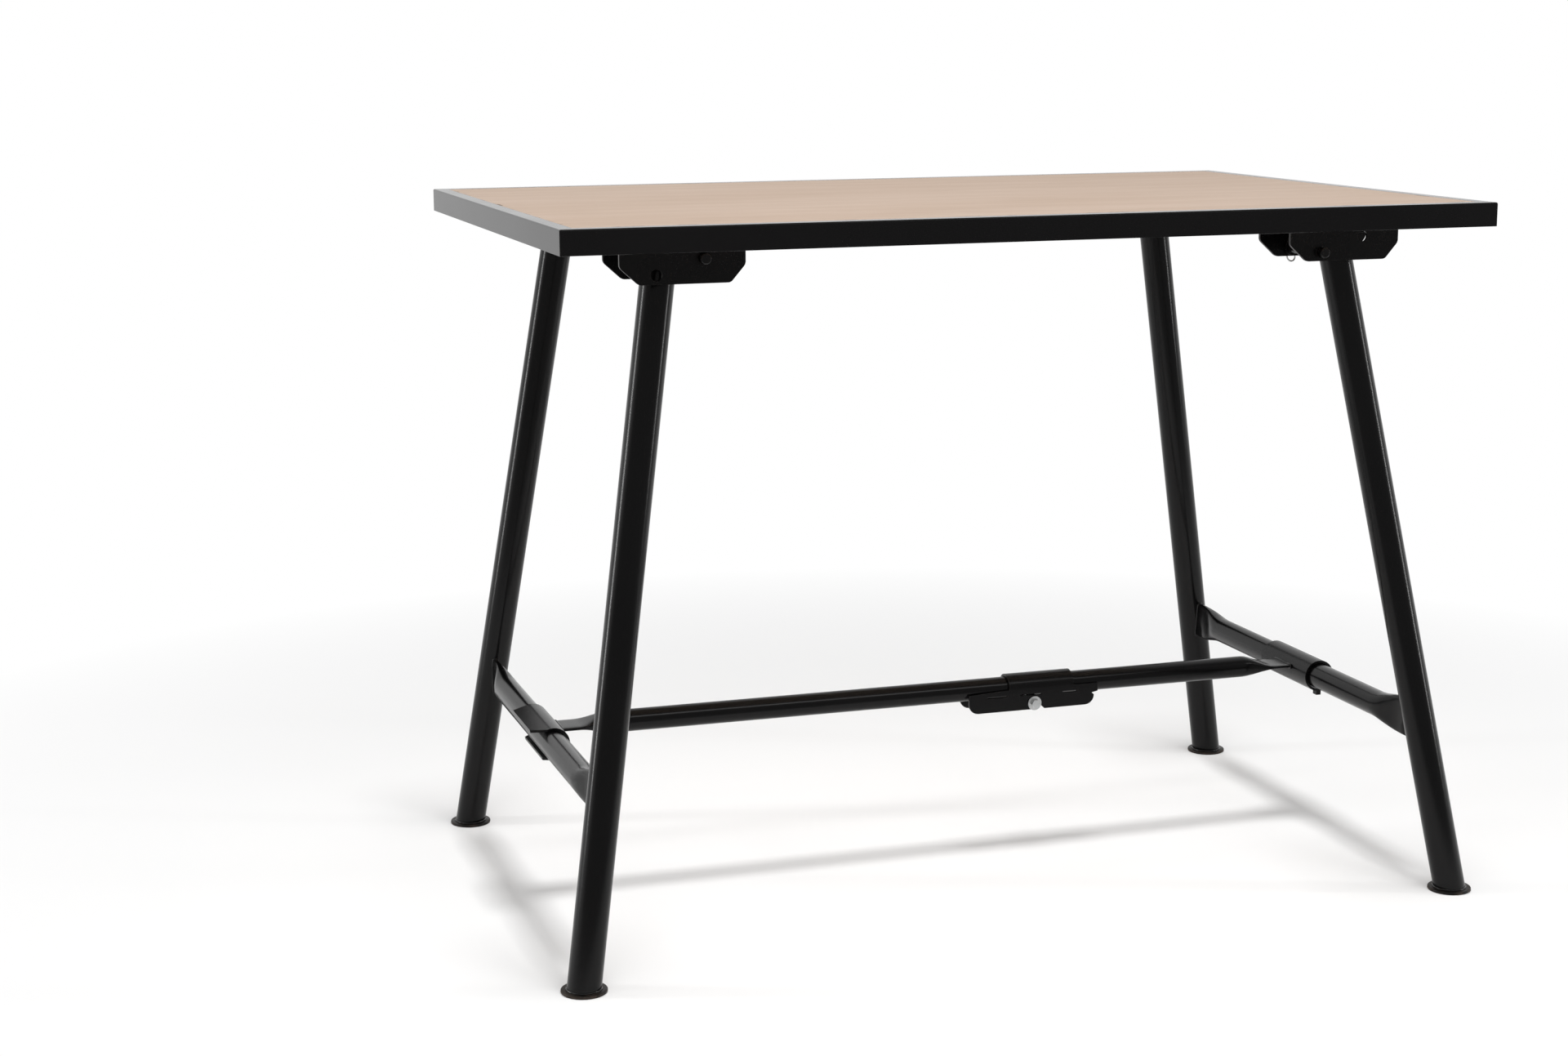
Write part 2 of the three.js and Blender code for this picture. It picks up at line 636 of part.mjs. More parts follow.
function cheek(y0, y1) {
  const noseX = cheekX1 - CHEEK_NOSE;
  const noseZ = cheekLow + CHEEK_CORNER;
  const outline = [
    ...arc(cheekX0 + CHEEK_CORNER, noseZ, CHEEK_CORNER, 180, 270, 5),
    ...arc(noseX - CHEEK_CORNER, noseZ, CHEEK_CORNER, -90, 0, 5),
    [noseX - CHEEK_NOTCH, noseZ + CHEEK_NOTCH],
    [cheekX1, STRETCHER_Z - STRETCHER_RADIUS + CHEEK_NOTCH],
    [cheekX1, STRETCHER_Z],
    [saddleX0, STRETCHER_Z],
    [cheekX0, STRETCHER_Z - CHEEK_NOTCH],
  ];
  const slitZ = boltZ + SLIT_DROP;
  const holes = slits.map(([from, to]) => slot(KNUCKLE_X + from, KNUCKLE_X + to, slitZ, SLIT_WIDTH));
  return toSolid(plateXZ(outline, y0, y1, holes));
}

const coverBand = [...arc(0, 0, cheekOut, 0, 180, 14), ...arc(0, 0, cheekIn, 180, 0, 14)];
const coverShape = shapeOf(coverBand, []);
const coverDepth = saddleX1 - saddleX0;
const cover = new THREE.ExtrudeGeometry(coverShape, { depth: coverDepth, bevelEnabled: false, steps: 1 });
cover.rotateX(Math.PI / 2);
cover.rotateZ(Math.PI / 2);
cover.translate(saddleX0, 0, STRETCHER_Z);
const throat = BOLT_RADIUS + THROAT_CLEARANCE;
const ways = arc(KNUCKLE_X, boltZ, THROAT_LENGTH, -69, -43, 1);
const mouth = hull([[KNUCKLE_X, boltZ], ...ways].flatMap(([x, z]) => circle(x, z, throat, 14)));
const mouthTool = toSolid(plateXZ(mouth, -cheekOut - 1, cheekOut + 1));
const saddle = toSolid(cover).add(cheek(-cheekOut, -cheekIn)).add(cheek(cheekIn, cheekOut)).subtract(mouthTool);
addMesh('knuckle_saddle', toGeometry(saddle), BLACK, 0.4, 0.35);

const tongueTop = STRETCHER_Z - STRETCHER_RADIUS - GAP;
const tongueLow = boltZ - TONGUE_EDGE;
const tongueX1 = KNUCKLE_X + TONGUE_NOSE;
const tongueX0 = tongueX1 - TONGUE_LENGTH;
const tongueOutline = [
  [tongueX0 + TONGUE_CORNER, tongueLow],
  ...arc(tongueX1 - TONGUE_CORNER, tongueLow + TONGUE_CORNER, TONGUE_CORNER, -90, 0, 5),
  [tongueX1, tongueTop],
  [tongueX0, tongueTop],
  [tongueX0, tongueLow + TONGUE_CORNER],
];
const tongueHole = circle(KNUCKLE_X, boltZ, BOLT_RADIUS + GAP, 16);
const tongue = plateXZ(tongueOutline, -TONGUE_GAUGE / 2, TONGUE_GAUGE / 2, [tongueHole]);
addMesh('knuckle_tongue', tongue, BLACK, 0.4, 0.35);

const washerFace = cheekOut + GAP;
const headFace = washerFace + WASHER_GAUGE + GAP;
const nutEnd = headFace + BOLT_HEAD_HEIGHT + BOLT_PAST_NUT;
const shank = plateXZ(circle(KNUCKLE_X, boltZ, BOLT_RADIUS, 16), -headFace - 1, nutEnd);
const boltHead = plateXZ(hexagon(KNUCKLE_X, boltZ, BOLT_HEAD_FLATS), -headFace - BOLT_HEAD_HEIGHT, -headFace);
addMesh('knuckle_bolt', toGeometry(toSolid(shank).add(toSolid(boltHead))), ZINC, 0.9, 0.3);

const washerHole = [circle(KNUCKLE_X, boltZ, BOLT_RADIUS + GAP, 16)];
const washerRim = circle(KNUCKLE_X, boltZ, WASHER_RADIUS, 24);
addMesh('knuckle_front_washer', plateXZ(washerRim, -washerFace - WASHER_GAUGE, -washerFace, washerHole), ZINC, 0.9, 0.3);
addMesh('knuckle_rear_washer', plateXZ(washerRim, washerFace, washerFace + WASHER_GAUGE, washerHole), ZINC, 0.9, 0.3);
const nut = plateXZ(hexagon(KNUCKLE_X, boltZ, BOLT_HEAD_FLATS), headFace, headFace + BOLT_HEAD_HEIGHT, washerHole);
addMesh('knuckle_nut', nut, ZINC, 0.9, 0.3);

export default group;
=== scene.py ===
import json
import math

import bpy
from mathutils import Matrix, Vector

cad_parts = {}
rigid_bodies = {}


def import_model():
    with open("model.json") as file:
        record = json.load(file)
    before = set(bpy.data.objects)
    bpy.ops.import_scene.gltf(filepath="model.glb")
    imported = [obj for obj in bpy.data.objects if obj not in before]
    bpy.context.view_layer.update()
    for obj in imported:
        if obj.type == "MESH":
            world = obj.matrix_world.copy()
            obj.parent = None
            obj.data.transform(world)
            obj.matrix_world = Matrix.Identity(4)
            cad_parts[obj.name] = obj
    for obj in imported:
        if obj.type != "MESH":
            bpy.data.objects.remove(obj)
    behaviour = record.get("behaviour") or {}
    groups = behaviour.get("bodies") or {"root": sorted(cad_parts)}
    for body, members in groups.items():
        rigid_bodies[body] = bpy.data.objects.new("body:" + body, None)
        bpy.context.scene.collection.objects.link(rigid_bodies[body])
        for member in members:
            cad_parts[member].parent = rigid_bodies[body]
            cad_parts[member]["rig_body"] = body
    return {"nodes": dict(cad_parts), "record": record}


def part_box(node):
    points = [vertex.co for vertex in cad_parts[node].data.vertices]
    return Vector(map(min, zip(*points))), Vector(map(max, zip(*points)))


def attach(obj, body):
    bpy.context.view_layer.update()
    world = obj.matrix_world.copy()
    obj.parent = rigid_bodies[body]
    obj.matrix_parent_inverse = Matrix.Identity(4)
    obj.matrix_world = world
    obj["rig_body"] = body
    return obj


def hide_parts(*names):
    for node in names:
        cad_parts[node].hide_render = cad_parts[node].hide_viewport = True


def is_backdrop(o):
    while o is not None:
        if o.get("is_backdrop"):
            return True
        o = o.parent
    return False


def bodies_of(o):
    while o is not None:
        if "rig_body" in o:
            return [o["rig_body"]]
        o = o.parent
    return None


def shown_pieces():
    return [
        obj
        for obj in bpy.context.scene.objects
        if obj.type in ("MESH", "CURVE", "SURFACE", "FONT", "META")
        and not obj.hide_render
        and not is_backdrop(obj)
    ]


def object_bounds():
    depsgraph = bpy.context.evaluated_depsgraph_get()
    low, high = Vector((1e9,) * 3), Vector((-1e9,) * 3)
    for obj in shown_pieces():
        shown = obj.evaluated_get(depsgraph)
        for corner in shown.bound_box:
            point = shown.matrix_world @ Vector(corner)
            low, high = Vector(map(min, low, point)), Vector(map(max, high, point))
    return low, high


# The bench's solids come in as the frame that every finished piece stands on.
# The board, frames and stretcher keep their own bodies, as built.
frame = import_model()
cad_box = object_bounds()
bpy.context.scene.view_settings.view_transform = "Standard"
body_of = {}
for body_name, node_names in frame["record"]["behaviour"]["bodies"].items():
    for node_name in node_names:
        body_of[node_name] = body_name


# Plywood board: a thick sheet of pale softwood ply, sanded and left bare on its working face.
# Its rim is rebated for the steel edging, and the plainer veneer with its ringed knots faces down.
class Socket:
    def __init__(self, finish, plug):
        self.finish = finish
        self.plug = plug

    def maths(self, operation, other, swap=False):
        pair = {0: other, 1: self} if swap else {0: self, 1: other}
        return self.finish.node("ShaderNodeMath", {"operation": operation}, pair)

    def __add__(self, other):
        return self.maths("ADD", other)

    def __radd__(self, other):
        return self.maths("ADD", other, True)

    def __sub__(self, other):
        return self.maths("SUBTRACT", other)

    def __rsub__(self, other):
        return self.maths("SUBTRACT", other, True)

    def __mul__(self, other):
        return self.maths("MULTIPLY", other)

    def __rmul__(self, other):
        return self.maths("MULTIPLY", other, True)

    def __truediv__(self, other):
        return self.maths("DIVIDE", other)

    def __gt__(self, other):
        return self.maths("GREATER_THAN", other)

    def __lt__(self, other):
        return self.maths("LESS_THAN", other)

    def __or__(self, other):
        return self.maths("MAXIMUM", other)

    def __abs__(self):
        return self.maths("ABSOLUTE", 0.0)

    def side(self, name):
        return Socket(self.finish, self.plug.node.outputs[name])


class Finish:
    def __init__(self, owner, shader="Principled BSDF"):
        owner.use_nodes = True
        self.owner = owner
        self.tree = owner.node_tree
        self.shader = self.tree.nodes[shader]

    def node(self, kind, settings=None, sockets=None, out=0):
        made = self.tree.nodes.new(kind)
        for key, value in (settings or {}).items():
            if key == "stops":
                ramp = made.color_ramp
                while len(ramp.elements) < len(value):
                    ramp.elements.new(0.5)
                for element, (place, colour) in zip(ramp.elements, value):
                    element.position = place
                    element.color = colour
            else:
                setattr(made, key, value)
        for key, value in (sockets or {}).items():
            self.feed(made.inputs[key], value)
        return Socket(self, made.outputs[out])

    def feed(self, socket, value):
        if isinstance(value, Socket):
            self.tree.links.new(value.plug, socket)
        else:
            socket.default_value = value

    def place(self, scale=(1, 1, 1), move=(0, 0, 0)):
        coords = self.node("ShaderNodeTexCoord", out="Object")
        return self.node("ShaderNodeMapping", {}, {
            "Vector": coords, "Scale": scale, "Location": move})

    def noise(self, where, scale, detail=3.0, rough=0.5):
        return self.node("ShaderNodeTexNoise", {}, {
            "Vector": where, "Scale": scale, "Detail": detail, "Roughness": rough})

    def ramp(self, value, low, high):
        return self.shades(value, [(low, 0.0), (high, 1.0)])

    def shades(self, value, steps):
        stops = [(place, (grey, grey, grey, 1)) for place, grey in steps]
        return self.node("ShaderNodeValToRGB", {"stops": stops}, {"Fac": value})

    def blend(self, amount, first, second):
        return self.node("ShaderNodeMix", {"data_type": "RGBA"}, {
            0: amount, 6: first, 7: second}, out=2)

    def bump(self, height, strength, distance):
        return self.node("ShaderNodeBump", {}, {
            "Height": height, "Strength": strength, "Distance": distance})

    def surface(self, **inputs):
        for key, value in inputs.items():
            self.feed(self.shader.inputs[key.replace("_", " ")], value)
        return self.owner


def only(piece):
    """Just this piece selected and active."""
    bpy.ops.object.select_all(action="DESELECT")
    piece.select_set(True)
    bpy.context.view_layer.objects.active = piece


SHARP_ANGLE = 40
MERGE_WITHIN = 0.00001
FLAT_WITHIN = 0.6


def pick_edges(piece, chosen, sharp=False):
    """Edit mode with just those edges selected whose two ends pass the test."""
    only(piece)
    bpy.ops.object.mode_set(mode="EDIT")
    bpy.ops.mesh.select_mode(type="EDGE")
    bpy.ops.mesh.select_all(action="DESELECT" if sharp else "SELECT")
    if sharp:
        bpy.ops.mesh.edges_select_sharp(sharpness=math.radians(SHARP_ANGLE))
    bpy.ops.object.mode_set(mode="OBJECT")
    corners = piece.data.vertices
    picked = [edge.index for edge in piece.data.edges
              if edge.select and chosen(*(corners[number].co for number in edge.vertices))]
    bpy.ops.object.mode_set(mode="EDIT")
    bpy.ops.mesh.select_all(action="DESELECT")
    bpy.ops.object.mode_set(mode="OBJECT")
    for number in picked:
        piece.data.edges[number].select = True
    bpy.ops.object.mode_set(mode="EDIT")


def round_edges(piece, chosen, radius, steps):
    pick_edges(piece, chosen)
    bpy.ops.mesh.bevel(offset=radius, offset_type="OFFSET", segments=steps, affect="EDGES",
                       clamp_overlap=True)
    bpy.ops.object.mode_set(mode="OBJECT")


def merged_copy(node_name):
    """The solid's own shape as a piece to finish, its loose triangles sewn together."""
    only(frame["nodes"][node_name])
    bpy.ops.object.duplicate()
    piece = bpy.context.active_object
    bpy.ops.object.parent_clear(type="CLEAR_KEEP_TRANSFORM")
    for tag in list(piece.keys()):
        del piece[tag]
    piece.name = node_name + "_finished"
    bpy.ops.object.mode_set(mode="EDIT")
    bpy.ops.mesh.select_all(action="SELECT")
    bpy.ops.mesh.remove_doubles(threshold=MERGE_WITHIN)
    bpy.ops.mesh.dissolve_limited(angle_limit=math.radians(FLAT_WITHIN))
    bpy.ops.object.mode_set(mode="OBJECT")
    return piece


def ease(piece, width, steps=2, angle=32):
    """Takes the sharpness off every edge that the angle finds, and shades the rest smooth."""
    only(piece)
    if width:
        bevel = piece.modifiers.new("eased_edges", "BEVEL")
        bevel.width = width
        bevel.segments = steps
        bevel.limit_method = "ANGLE"
        bevel.angle_limit = math.radians(angle)
        bevel.use_clamp_overlap = True
        bpy.ops.object.modifier_apply(modifier=bevel.name)
    bpy.ops.object.shade_smooth_by_angle(angle=math.radians(angle))
    if width:
        flatter = piece.modifiers.new("flat_faces", "WEIGHTED_NORMAL")
        flatter.keep_sharp = True
        flatter.weight = 100
        bpy.ops.object.modifier_apply(modifier=flatter.name)


def settle(piece, body, material, stands_for=None):
    piece.data.materials.clear()
    piece.data.materials.append(material)
    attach(piece, body)
    if stands_for:
        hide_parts(stands_for)
    return piece


def dress(node_name, material, width, steps=2, angle=32):
    piece = merged_copy(node_name)
    ease(piece, width, steps, angle)
    return settle(piece, body_of[node_name], material, node_name)


BOARD_FACE = 0.81
BORDER_STROKE_WIDTH = 0.0032


def plywood():
    wood = Finish(bpy.data.materials.new("bare_plywood"))
    here = wood.place()
    along = wood.node("ShaderNodeSeparateXYZ", {}, {"Vector": here})
    across = along.side("Y")
    height = along.side("Z")
    warp = wood.noise(wood.place((1.1, 5.0, 1.0)), 2.2, 3.0)
    rings = wood.noise(wood.place((0.9, 9.0, 1.0), (3.1, 0.4, 0.0)), 3.4, 4.0, 0.55)
    cathedral = wood.node("ShaderNodeTexWave", {
        "wave_type": "BANDS", "bands_direction": "Y", "wave_profile": "SIN"}, {
        "Vector": wood.place((0.35, 1.0, 0.3)), "Scale": 5.0, "Distortion": 9.0, "Detail": 3.0,
        "Detail Scale": 0.8, "Detail Roughness": 0.55})
    cloud = wood.noise(wood.place((1.0, 2.2, 1.0), (0.6, 2.3, 0.0)), 2.6, 3.0, 0.6)
    fibres = wood.noise(wood.place((9.0, 420.0, 14.0)), 1.0, 5.0, 0.62)
    grain = wood.ramp(fibres, 0.40, 0.66)
    bend = wood.noise(wood.place((1.6, 4.0, 1.0), (1.9, 0.7, 0.0)), 2.0, 3.0)
    growth = wood.node("ShaderNodeTexWave", {
        "wave_type": "BANDS", "bands_direction": "Y", "wave_profile": "SAW"}, {
        "Vector": wood.place((0.12, 1.0, 0.3)), "Scale": 20.0, "Distortion": 26.0 * bend,
        "Detail": 2.0, "Detail Scale": 0.35, "Detail Roughness": 0.5})
    pores = wood.noise(wood.place((26.0, 900.0, 26.0), (1.7, 0.0, 0.0)), 1.0, 2.0)
    flecks = wood.ramp(pores, 0.63, 0.74)
    tone = 0.4 * warp + 0.35 * rings + 0.25 * cathedral

    # The working face: even and pinkish, with fine grain and a few dark strokes along its border.
    top_tone = wood.blend(
        wood.ramp(tone, 0.30, 0.72), (0.640, 0.508, 0.415, 1), (0.607, 0.470, 0.375, 1))
    top_tone = wood.blend(0.55 * wood.ramp(cloud, 0.42, 0.70), top_tone, (0.545, 0.408, 0.312, 1))
    top_tone = wood.blend(0.24 * grain + 0.10 * growth, top_tone, (0.44, 0.315, 0.235, 1))
    top_tone = wood.blend(0.24 * flecks, top_tone, (0.34, 0.235, 0.165, 1))
    left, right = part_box("left_edging")[1].x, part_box("right_edging")[0].x
    half_length, half_width = (right - left) / 2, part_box("rear_edging")[0].y
    rim = (abs(along - (left + right) / 2) - half_length) | (abs(across) - half_width)
    stroke = wood.ramp(wood.noise(wood.place((21.0, 17.0, 1.0)), 1.0, 3.0, 0.6), 0.57, 0.63)
    # Dark strokes along the board's border, where it meets the edging.
    dark_border_strokes = (rim > -BORDER_STROKE_WIDTH) * stroke
    top_tone = wood.blend(0.72 * dark_border_strokes, top_tone, (0.115, 0.078, 0.055, 1))

    # The face below: paler than the working face, partly a creamier veneer and partly painted
    # light, with oval ringed knots, pin knots and smudges.
    wobble = wood.noise(here, 22.0, 3.0)
    cells = wood.node("ShaderNodeTexVoronoi", {"feature": "F1"}, {
        "Vector": wood.place((1.0, 1.22, 0.0), (0.37, 0.21, 0.0)), "Scale": 3.3, "Randomness": 1.0})
    chance = wood.node("ShaderNodeSeparateColor", {}, {0: cells.side("Color")})
    spread = (cells + 0.028 * wobble - 0.014) / (0.045 + 0.10 * chance)
    knot = wood.shades(spread * 0.8, [
        (0.00, 1.00), (0.07, 0.78), (0.10, 0.42), (0.15, 0.66), (0.33, 0.50), (0.39, 0.74),
        (0.42, 0.26), (0.55, 0.20), (0.58, 0.30), (0.61, 0.20), (0.72, 0.30), (0.76, 0.52),
        (0.80, 0.10), (1.00, 0.00)])
    pins = wood.node("ShaderNodeTexVoronoi", {"feature": "F1"}, {
        "Vector": wood.place((1.0, 1.0, 0.0), (0.13, 0.57, 0.0)), "Scale": 8.0, "Randomness": 1.0})
    pin = 1.0 - wood.ramp(pins + 0.02 * wobble, 0.028, 0.052)
    stains = wood.noise(wood.place((2.2, 1.5, 1.0), (4.2, 0.3, 0.0)), 2.4, 5.0, 0.65)
    smudge = wood.ramp(stains, 0.60, 0.78)
    # Painted light: these base tones are set paler, as the face looks when lit from the front.
    underside_veneer_and_light = wood.blend(
        wood.ramp(tone, 0.28, 0.74), (0.690, 0.578, 0.490, 1), (0.635, 0.505, 0.408, 1))
    underside_veneer_and_light = wood.blend(0.24 * grain + 0.08 * growth, underside_veneer_and_light, (0.46, 0.33, 0.245, 1))
    underside_veneer_and_light = wood.blend(0.26 * smudge, underside_veneer_and_light, (0.46, 0.345, 0.255, 1))
    underside_veneer_and_light = wood.blend(0.85 * knot, underside_veneer_and_light, (0.335, 0.205, 0.118, 1))
    underside_veneer_and_light = wood.blend(0.55 * pin, underside_veneer_and_light, (0.20, 0.115, 0.065, 1))
    return wood.surface(
        Base_Color=wood.blend(height > BOARD_FACE, underside_veneer_and_light, top_tone),
        Roughness=0.62 + 0.16 * fibres,
        Normal=wood.bump(fibres + 0.5 * flecks, 0.18, 0.0004),
        Specular_IOR_Level=0.18,
    )


dress("plywood_panel", plywood(), width=0.0005)


# Edging: four lengths of folded steel angle, mitred at the corners and fixed round the board.
# Smooth black powder coat that mirrors the white room at a low angle, a little rubbed on its fold.
WEAR_REACH = 0.0016


def powder_coat(name, level, gloss, peel, dust_amount, shade=1.0, rub=0.0):
    coat = Finish(bpy.data.materials.new(name))
    where = coat.place()
    skin = coat.noise(where, 1150.0, 2.0)
    drift = coat.noise(where, 7.0, 4.0, 0.6)
    dust = coat.ramp(coat.noise(where, 420.0, 3.0, 0.7), 0.62, 0.82)
    scuff = coat.ramp(coat.noise(coat.place((60.0, 60.0, 14.0)), 2.0, 4.0, 0.7), 0.66, 0.80)
    deep = (0.0016 * shade, 0.0015 * shade, 0.0016 * shade, 1)
    pale = (0.0034 * shade, 0.0032 * shade, 0.0033 * shade, 1)
    tone = coat.blend(drift, deep, pale)
    tone = coat.blend(dust_amount * dust, tone, (0.13, 0.125, 0.12, 1))
    if rub:
        bent = coat.node("ShaderNodeBevel", {"samples": 4}, {"Radius": WEAR_REACH})
        flat = coat.node("ShaderNodeNewGeometry", out="Normal")
        square = coat.node("ShaderNodeVectorMath", {"operation": "DOT_PRODUCT"}, {
            0: bent, 1: flat}, out="Value")
        patchy = coat.ramp(coat.noise(where, 130.0, 4.0, 0.7), 0.46, 0.66)
        worn = coat.ramp(1.0 - square, 0.02, 0.22) * patchy
        tone = coat.blend(rub * worn, tone, (0.075, 0.070, 0.066, 1))
    return coat.surface(
        Base_Color=tone,
        Roughness=gloss - 0.04 + 0.08 * drift + 0.06 * scuff + 0.05 * dust,
        Normal=coat.bump(skin + 0.6 * drift, peel, 0.0003),
        Specular_IOR_Level=level,
    )


SAME_PLACE = 0.0001
FOLD_RADIUS = 0.0017
top_z = cad_box[1][2]
edge_coat = powder_coat(
    "edging_coat", level=0.16, gloss=0.17, peel=0.015, dust_amount=0.03, shade=1.8, rub=0.3)
for side, axis, end in (("left", 0, 0), ("front", 1, 0), ("right", 0, 1), ("rear", 1, 1)):
    angle_strip = merged_copy(side + "_edging")
    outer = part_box(side + "_edging")[end][axis]

    def on_fold(a, b):
        return all(abs(p.z - top_z) < SAME_PLACE and abs(p[axis] - outer) < SAME_PLACE
                   for p in (a, b))

    round_edges(angle_strip, on_fold, FOLD_RADIUS, 5)
    ease(angle_strip, width=0.0003)
    settle(angle_strip, body_of[side + "_edging"], edge_coat, side + "_edging")


# Brackets: short folded channels of black steel plate, punched with two pairs of holes.
# Each is screwed up into the board, and its two sides carry one leg's pivot pin.
PLATE = 0.004
CORNER_RADIUS = 0.0028
LONG_EDGE = 0.05
frame_coat = powder_coat(
    "frame_coat", level=0.17, gloss=0.27, peel=0.06, dust_amount=0.05, shade=1.0, rub=0.5)
ends = ("left_front", "left_rear", "right_front", "right_rear")
for end in ends:
    channel = merged_copy(end + "_bracket")
    low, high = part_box(end + "_bracket")

    def plate_corner(a, b):
        square_on = abs(a.x - b.x) < SAME_PLACE and abs(a.z - b.z) < SAME_PLACE
        through = square_on and abs(a.y - b.y) < PLATE * 1.2
        at_end = min(abs(a.x - low.x), abs(a.x - high.x)) < SAME_PLACE
        outside = at_end or abs(a.z - low.z) < SAME_PLACE
        return through and outside and a.z < high.z - PLATE * 1.5

    def outer_bend(a, b):
        level = all(abs(p.z - high.z) < SAME_PLACE for p in (a, b))
        lengthwise = abs(a.x - b.x) > LONG_EDGE
        return level and lengthwise and min(abs(a.y - low.y), abs(a.y - high.y)) < SAME_PLACE

    round_edges(channel, plate_corner, CORNER_RADIUS, 3)
    round_edges(channel, outer_bend, PLATE, 5)
    ease(channel, width=0.0005)
    settle(channel, body_of[end + "_bracket"], frame_coat, end + "_bracket")


# Screws, pins and clips: zinc-plated screws into the board, a black pin through each bracket
# and shoe, and a bright clip bent from wire that keeps the pin in.
# Plated faces show a faint blue-grey bloom.
def zinc_plate():
    zinc = Finish(bpy.data.materials.new("zinc_plate"))
    where = zinc.place()
    bloom = zinc.noise(where, 180.0, 4.0, 0.6)
    fine = zinc.noise(zinc.place((300.0, 2600.0, 2600.0)), 1.0, 2.0)
    stain = zinc.ramp(zinc.noise(where, 520.0, 3.0, 0.6), 0.60, 0.76)
    tone = zinc.blend(bloom, (0.50, 0.52, 0.54, 1), (0.68, 0.68, 0.66, 1))
    tone = zinc.blend(0.35 * stain, tone, (0.24, 0.235, 0.225, 1))
    return zinc.surface(
        Base_Color=tone,
        Metallic=1.0,
        Roughness=0.24 + 0.18 * bloom,
        Normal=zinc.bump(fine, 0.06, 0.0002),
    )


WIRE_ANGLE = 60
zinc = zinc_plate()
pin_coat = powder_coat(
    "pin_coat", level=0.22, gloss=0.26, peel=0.08, dust_amount=0.08, shade=1.2, rub=0.7)
for end in ends:
    for number in (1, 2, 3, 4):
        dress(f"{end}_screw_{number}", zinc, width=0.0005)
    dress(end + "_pivot_pin", pin_coat, width=0.0002, steps=1)
    clip = merged_copy(end + "_spring_clip")
    only(clip)
    rounder = clip.modifiers.new("round_wire", "SUBSURF")
    rounder.levels = rounder.render_levels = 1
    bpy.ops.object.modifier_apply(modifier=rounder.name)
    ease(clip, width=0.0, angle=WIRE_ANGLE)
    settle(clip, body_of[end + "_spring_clip"], zinc, end + "_spring_clip")


# Legs: straight lengths of black steel tube, cut level at both ends and leaning outwards.
# Each is welded up to its hinge shoe, and its coat is glossier than that of the pressed parts.
TUBE_SIDES = 64
LEG_WALL = 0.002
BEAD = 0.00125
RIPPLE_LENGTH = 0.0032
RIPPLE_SHARE = 1.7
leg_coat = powder_coat("leg_coat", level=0.20, gloss=0.20, peel=0.03, dust_amount=0.03)
bead_coat = powder_coat(
    "weld_bead_coat", level=0.36, gloss=0.20, peel=0.30, dust_amount=0.06, shade=1.3)
bead_cloud = bpy.data.textures.new("bead_ripple", "CLOUDS")
bead_cloud.noise_scale = RIPPLE_LENGTH


def weld_bead(name, source, chosen, body, thick, sharp=False):
    """Follows the chosen edges of a piece with a thin, uneven bead."""
    pick_edges(source, chosen, sharp)
    bpy.ops.mesh.duplicate()
    bpy.ops.mesh.separate(type="SELECTED")
    bpy.ops.object.mode_set(mode="OBJECT")
    bead = next(made for made in bpy.context.selected_objects if made is not source)
    only(bead)
    bead.name = name
    bpy.ops.object.convert(target="CURVE")
    bead.data.bevel_depth = thick
    bead.data.bevel_resolution = 3
    bpy.ops.object.convert(target="MESH")
    bpy.ops.object.mode_set(mode="EDIT")
    bpy.ops.mesh.select_all(action="SELECT")
    bpy.ops.mesh.remove_doubles(threshold=MERGE_WITHIN)
    bpy.ops.mesh.normals_make_consistent(inside=False)
    bpy.ops.object.mode_set(mode="OBJECT")
    ripple = bead.modifiers.new("ripple", "DISPLACE")
    ripple.texture = bead_cloud
    ripple.strength = thick * RIPPLE_SHARE
    ripple.mid_level = 0.5
    bpy.ops.object.modifier_apply(modifier=ripple.name)
    bpy.ops.object.shade_smooth()
    return settle(bead, body, bead_coat)


def leg_line(end):
    """The middle of a leg's two level ends, from the boxes of the leg and its foot."""
    low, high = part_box(end + "_leg")
    foot_low, foot_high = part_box(end + "_foot")
    foot = (foot_low + foot_high) / 2
    leans_right = foot.x - low.x < high.x - foot.x
    leans_back = foot.y - low.y < high.y - foot.y
    radius = (foot.x - low.x) if leans_right else (high.x - foot.x)
    top_x = high.x - radius if leans_right else low.x + radius
    top_y = high.y - radius if leans_back else low.y + radius
    return Vector((foot.x, foot.y, low.z)), Vector((top_x, top_y, high.z)), radius


for end in ends:
    bottom, top, radius = leg_line(end)
    bpy.ops.object.select_all(action="DESELECT")
    bpy.ops.mesh.primitive_cylinder_add(
        vertices=TUBE_SIDES, radius=radius, depth=top.z - bottom.z, end_fill_type="NOTHING",
        location=(bottom.x, bottom.y, (bottom.z + top.z) / 2))
    leg = bpy.context.active_object
    leg.name = end + "_leg_finished"
    bpy.ops.object.transform_apply(location=True, rotation=True, scale=True)
    half_way = (bottom.z + top.z) / 2
    pick_edges(leg, lambda a, b: min(a.z, b.z) > half_way)
    bpy.ops.transform.translate(value=(top.x - bottom.x, top.y - bottom.y, 0))
    bpy.ops.object.mode_set(mode="OBJECT")
    body = body_of[end + "_leg"]
    weld_bead(end + "_shoe_weld", leg, lambda a, b: min(a.z, b.z) > half_way, body, BEAD)
    weld_bead(end + "_foot_weld", leg, lambda a, b: max(a.z, b.z) < half_way, body, BEAD)
    only(leg)
    wall = leg.modifiers.new("tube_wall", "SOLIDIFY")
    wall.thickness = LEG_WALL
    wall.offset = -1
    bpy.ops.object.modifier_apply(modifier=wall.name)
    ease(leg, width=0.0, angle=SHARP_ANGLE)
    settle(leg, body, leg_coat, end + "_leg")


# Hinge shoes: a black plate on top of each leg with two ears that turn on the pivot pin.
# The plate bears up against the bracket, and takes the bench's weight.
for end in ends:
    dress(end + "_hinge_shoe", frame_coat, width=0.0007)


# Feet: flat round plates of black steel under the legs, with rounded rims.
# Brown patches lighten them, most below the top face: partly coat rubbed away, partly a painted
# highlight on the rims and top faces.
RIM_RADIUS = 0.0011
RUB_AND_HIGHLIGHT_BELOW = 0.0029


